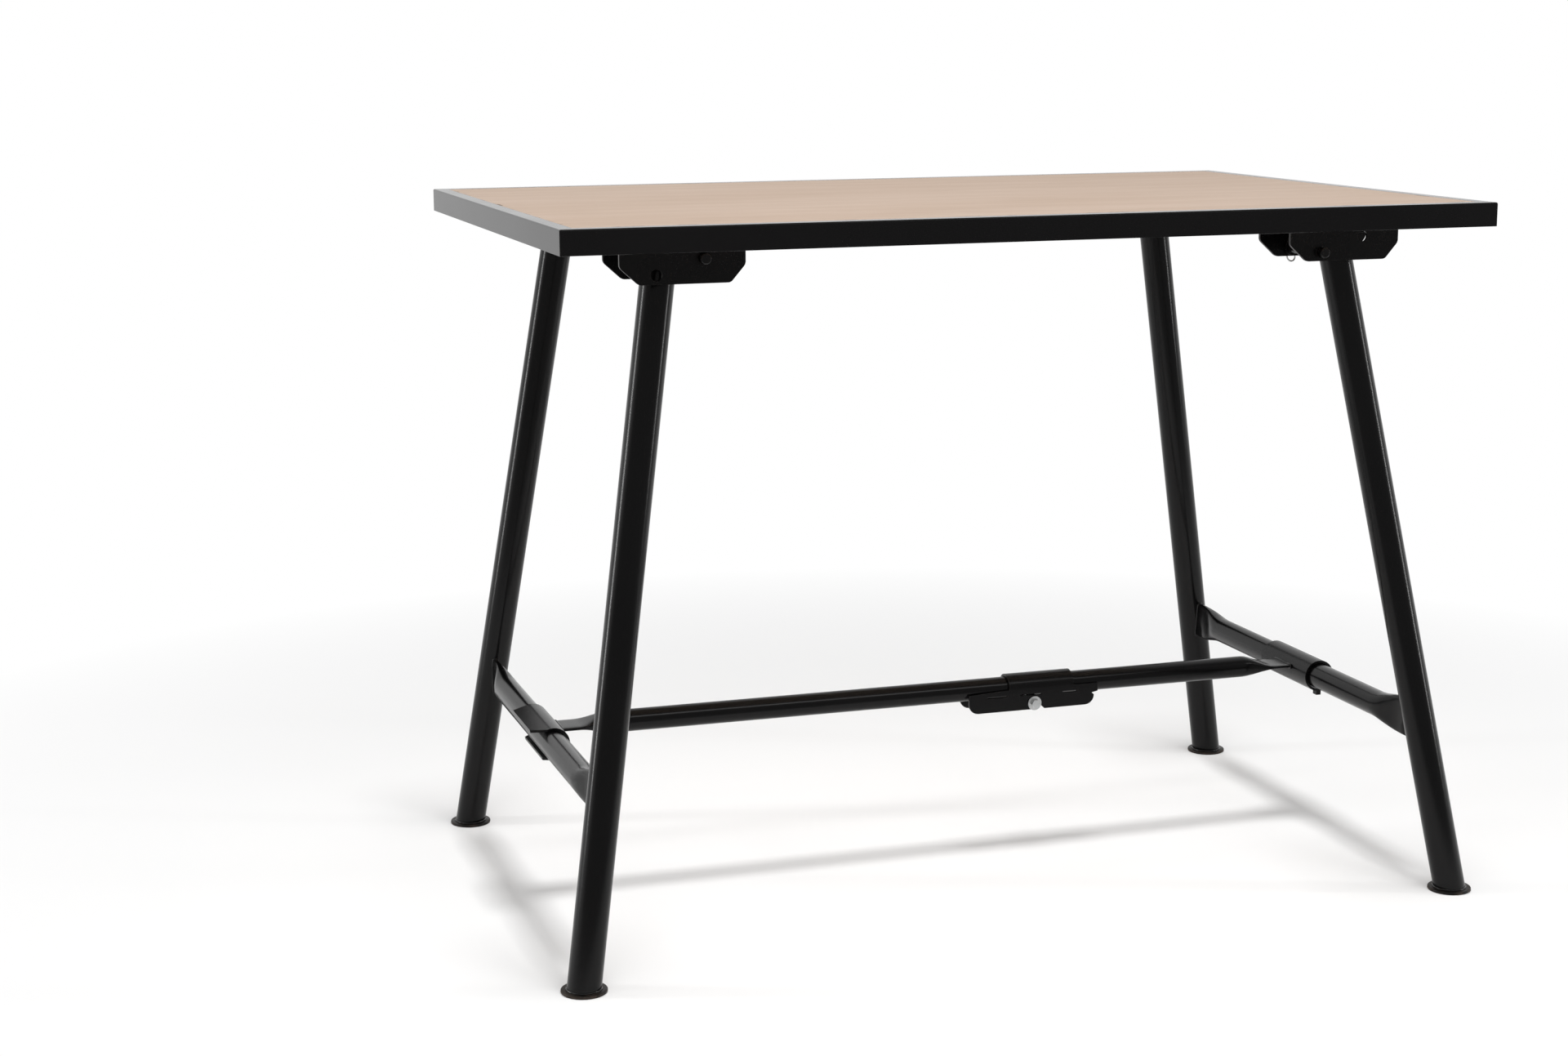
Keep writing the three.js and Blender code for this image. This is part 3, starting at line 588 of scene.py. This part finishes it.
def worn_and_highlit_plate():
    plate = Finish(bpy.data.materials.new("rubbed_highlit_foot_paint"))
    where = plate.place()
    height = plate.node("ShaderNodeSeparateXYZ", {}, {"Vector": where}, out="Z")
    patch = plate.ramp(plate.noise(where, 75.0, 5.0, 0.65), 0.42, 0.62)
    grit = plate.noise(where, 620.0, 3.0, 0.6)
    # Painted highlight and wear together: brown patches in full on the rim and underneath, at 45%
    # on the top face.
    rub = patch * (0.45 + 0.55 * (height < RUB_AND_HIGHLIGHT_BELOW))
    tone = plate.blend(grit, (0.0030, 0.0027, 0.0025, 1), (0.0085, 0.0074, 0.0066, 1))
    tone = plate.blend(0.8 * rub, tone, (0.062, 0.045, 0.035, 1))
    return plate.surface(
        Base_Color=tone,
        Roughness=0.32 + 0.22 * patch,
        Normal=plate.bump(grit, 0.12, 0.0003),
        Specular_IOR_Level=0.13,
    )


foot_coat = worn_and_highlit_plate()
for end in ends:
    low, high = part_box(end + "_foot")
    bpy.ops.object.select_all(action="DESELECT")
    bpy.ops.mesh.primitive_cylinder_add(
        vertices=TUBE_SIDES, radius=(high.x - low.x) / 2, depth=high.z - low.z,
        location=(low + high) / 2)
    foot = bpy.context.active_object
    foot.name = end + "_foot_finished"
    bpy.ops.object.transform_apply(location=True, rotation=True, scale=True)
    round_edges(foot, lambda a, b: abs(a.z - b.z) < SAME_PLACE, RIM_RADIUS, 4)
    ease(foot, width=0.0, angle=SHARP_ANGLE)
    settle(foot, body_of[end + "_foot"], foot_coat, end + "_foot")


# Crossbars: lengths of lighter tube, pressed flat at both ends and welded edge-on to the legs.
# The press leaves long scooped shoulders, and a bead goes round each flattened end.
ON_LEG = 0.002
for side in ("left", "right"):
    bar = merged_copy(side + "_crossbar")
    body = body_of[side + "_crossbar"]
    for place in ("front", "rear"):
        bottom, top, radius = leg_line(f"{side}_{place}")
        along_leg = (top - bottom).normalized()

        def on_leg(a, b):
            offsets = (a - bottom, b - bottom)
            return all((offset - along_leg * along_leg.dot(offset)).length < radius + ON_LEG
                       for offset in offsets)

        weld_bead(f"{side}_{place}_crossbar_weld", bar, on_leg, body, BEAD, True)
    ease(bar, width=0.0, angle=SHARP_ANGLE)
    settle(bar, body, leg_coat, side + "_crossbar")


# Stretcher: two lengths of slim tube, each pressed to a flat blade and welded to its collar.
# The long one ends in an open hook, and the short one in a sleeve rolled round its crossbar.
plate_coat = powder_coat(
    "collar_coat", level=0.18, gloss=0.26, peel=0.06, dust_amount=0.05, shade=1.0, rub=0.5)
BLADE_END = 0.004
for half, towards in (("long", 0), ("short", 1)):
    node_name = f"stretcher_{half}_tube"
    tube = merged_copy(node_name)
    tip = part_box(node_name)[towards].x
    weld_bead(half + "_blade_weld", tube,
              lambda a, b: max(abs(a.x - tip), abs(b.x - tip)) < BLADE_END,
              body_of[node_name], BEAD, True)
    ease(tube, width=0.0003, steps=1, angle=SHARP_ANGLE)
    settle(tube, body_of[node_name], leg_coat, node_name)
dress("left_hook", plate_coat, width=0.0006, angle=SHARP_ANGLE)
dress("right_collar", plate_coat, width=0.0006, angle=SHARP_ANGLE)


# Knuckle: a saddle of bent plate with two cheeks, slit along the line of its stitch welds.
# One zinc bolt with wide washers and a nut passes under the tubes and through the tongue.
dress("knuckle_saddle", plate_coat, width=0.0005, angle=SHARP_ANGLE)
dress("knuckle_tongue", plate_coat, width=0.0005)
for node_name in ("knuckle_bolt", "knuckle_nut", "knuckle_front_washer", "knuckle_rear_washer"):
    dress(node_name, zinc, width=0.0003)


# Floor: a wide white sheet of studio paper that runs out into a white room behind the bench.
# It carries the bench's soft shadow and isn't part of it, and glows: white to the camera, more so
# away from the bench.
bpy.ops.object.select_all(action="DESELECT")
FLOOR_RADIUS = 14.0
FLOOR_GREY = 0.35
bpy.ops.mesh.primitive_circle_add(
    vertices=96, radius=FLOOR_RADIUS, fill_type="NGON", location=(0, 0, 0))
floor = bpy.context.active_object
floor.name = "studio_floor"
paper = Finish(bpy.data.materials.new("studio_paper"))
ground = paper.place()
reach = paper.node("ShaderNodeVectorMath", {"operation": "LENGTH"}, {0: ground}, out="Value")
fade = paper.shades(reach / FLOOR_RADIUS, [(0.060, 0.06), (0.125, 1.0)])
depth = paper.node("ShaderNodeSeparateXYZ", {}, {"Vector": ground}, out="Y")
# Painted glow: in reflections the paper glows grey in front of the bench and white behind it.
lit = paper.ramp(depth + 1.0, 0.20, 0.58)
ray = paper.node("ShaderNodeLightPath", out="Is Camera Ray")
seen = ray | ray.side("Is Glossy Ray") | ray.side("Is Transmission Ray")
white = lit | ray
sheet = paper.blend(white, (FLOOR_GREY, FLOOR_GREY, FLOOR_GREY, 1), (1, 1, 1, 1))
glow = paper.node("ShaderNodeEmission", {}, {"Color": sheet, "Strength": 1.0})
paper.surface(Base_Color=(0.72, 0.72, 0.72, 1), Roughness=0.9, Specular_IOR_Level=0.05)
plain = Socket(paper, paper.shader.outputs[0])
mixed = paper.node("ShaderNodeMixShader", {}, {
    0: seen * (fade | (1.0 - white)), 1: plain, 2: glow})
paper.feed(paper.tree.nodes["Material Output"].inputs["Surface"], mixed)
floor.data.materials.append(paper.owner)
floor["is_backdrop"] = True


# Light: a soft box over the bench and one over the floor, a low strip in front, a tall strip
# at each end for the streaks on the leg frames, and a white room that fills the shadows.
# The floor's own box throws only the shadows of the frames and the stretcher.
def softbox(name, place, aim, size, power):
    bpy.ops.object.select_all(action="DESELECT")
    bpy.ops.object.light_add(type="AREA", location=place)
    lamp = bpy.context.active_object
    lamp.name = name
    lamp.data.shape = "RECTANGLE"
    lamp.data.size, lamp.data.size_y = size
    lamp.data.energy = power
    lamp.visible_camera = False
    way = Vector(aim) - Vector(place)
    lamp.rotation_euler = way.to_track_quat("-Z", "Y").to_euler()
    lamp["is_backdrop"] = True
    return lamp


overhead = softbox("overhead_box", (-0.2, -0.2, 3.3), (0, 0, 0.5), (0.9, 0.9), 22)
overhead.visible_glossy = False
floor_wash = softbox("floor_wash", (0.0, -0.3, 3.3), (0, 0, 0), (0.68, 0.68), 84)
floor_wash.visible_glossy = False
softbox("front_strip", (-0.2, -1.6, 1.9), (0, 0, 0.6), (3.0, 0.25), 12)
left_strip = softbox("left_strip", (-3.3, 0.85, 1.0), (-0.4, -0.2, 0.5), (0.28, 2.2), 38)
right_strip = softbox("right_strip", (3.3, -1.35, 1.0), (0.4, -0.2, 0.5), (0.22, 2.2), 30)
ROOM_LIGHT = 0.48
FRONT_LIGHT = 0.35
bench = bpy.data.collections.new("bench_pieces")
casters = bpy.data.collections.new("floor_shadow")
strip_lit = bpy.data.collections.new("strip_lit")
strip_lit.objects.link(floor)
ground_only = bpy.data.collections.new("floor_only")
ground_only.objects.link(floor)
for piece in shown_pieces():
    bench.objects.link(piece)
    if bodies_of(piece) != ["table_top"]:
        casters.objects.link(piece)
    if "stretcher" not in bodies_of(piece)[0]:
        strip_lit.objects.link(piece)
overhead.light_linking.receiver_collection = bench
left_strip.light_linking.receiver_collection = strip_lit
right_strip.light_linking.receiver_collection = strip_lit
floor_wash.light_linking.receiver_collection = ground_only
floor_wash.light_linking.blocker_collection = casters
world = bpy.data.worlds.new("white_room")
bpy.context.scene.world = world
room = Finish(world, "Background")
look = room.node("ShaderNodeLightPath", out="Is Camera Ray")
shown = look | look.side("Is Transmission Ray")
heading = room.node("ShaderNodeTexCoord", out="Generated")
rearward = room.node("ShaderNodeSeparateXYZ", {}, {"Vector": heading}, out="Y")
mirrored = FRONT_LIGHT + (1 - FRONT_LIGHT) * room.ramp(rearward * 0.5 + 0.5, 0.38, 0.55)
in_gloss = look.side("Is Glossy Ray") * (mirrored - ROOM_LIGHT)
room.surface(Color=(1, 1, 1, 1), Strength=ROOM_LIGHT + (1 - ROOM_LIGHT) * shown + in_gloss)


# Camera: a long normal lens a little to the left of the bench and just above its top,
# at the angle from which the bench was photographed.
bpy.ops.object.select_all(action="DESELECT")
bpy.ops.object.camera_add(location=(0, 0, 0))
camera = bpy.context.active_object
EYE = (-1.12657, -2.90917, 1.02071)
LENS = 59.596
SENSOR = 36
yaw, pitch, roll = math.radians(17.650), math.radians(-10.978), math.radians(-0.308)
flat_ahead = Vector((math.sin(yaw), math.cos(yaw), 0))
flat_right = Vector((math.cos(yaw), -math.sin(yaw), 0))
ahead = math.cos(pitch) * flat_ahead + math.sin(pitch) * Vector((0, 0, 1))
upward = -math.sin(pitch) * flat_ahead + math.cos(pitch) * Vector((0, 0, 1))
right = math.cos(roll) * flat_right + math.sin(roll) * upward
upward = -math.sin(roll) * flat_right + math.cos(roll) * upward
camera.matrix_world = Matrix((
    (right.x, upward.x, -ahead.x, EYE[0]),
    (right.y, upward.y, -ahead.y, EYE[1]),
    (right.z, upward.z, -ahead.z, EYE[2]),
    (0, 0, 0, 1),
))
camera.data.sensor_width = SENSOR
camera.data.lens = LENS
bpy.context.scene.camera = camera
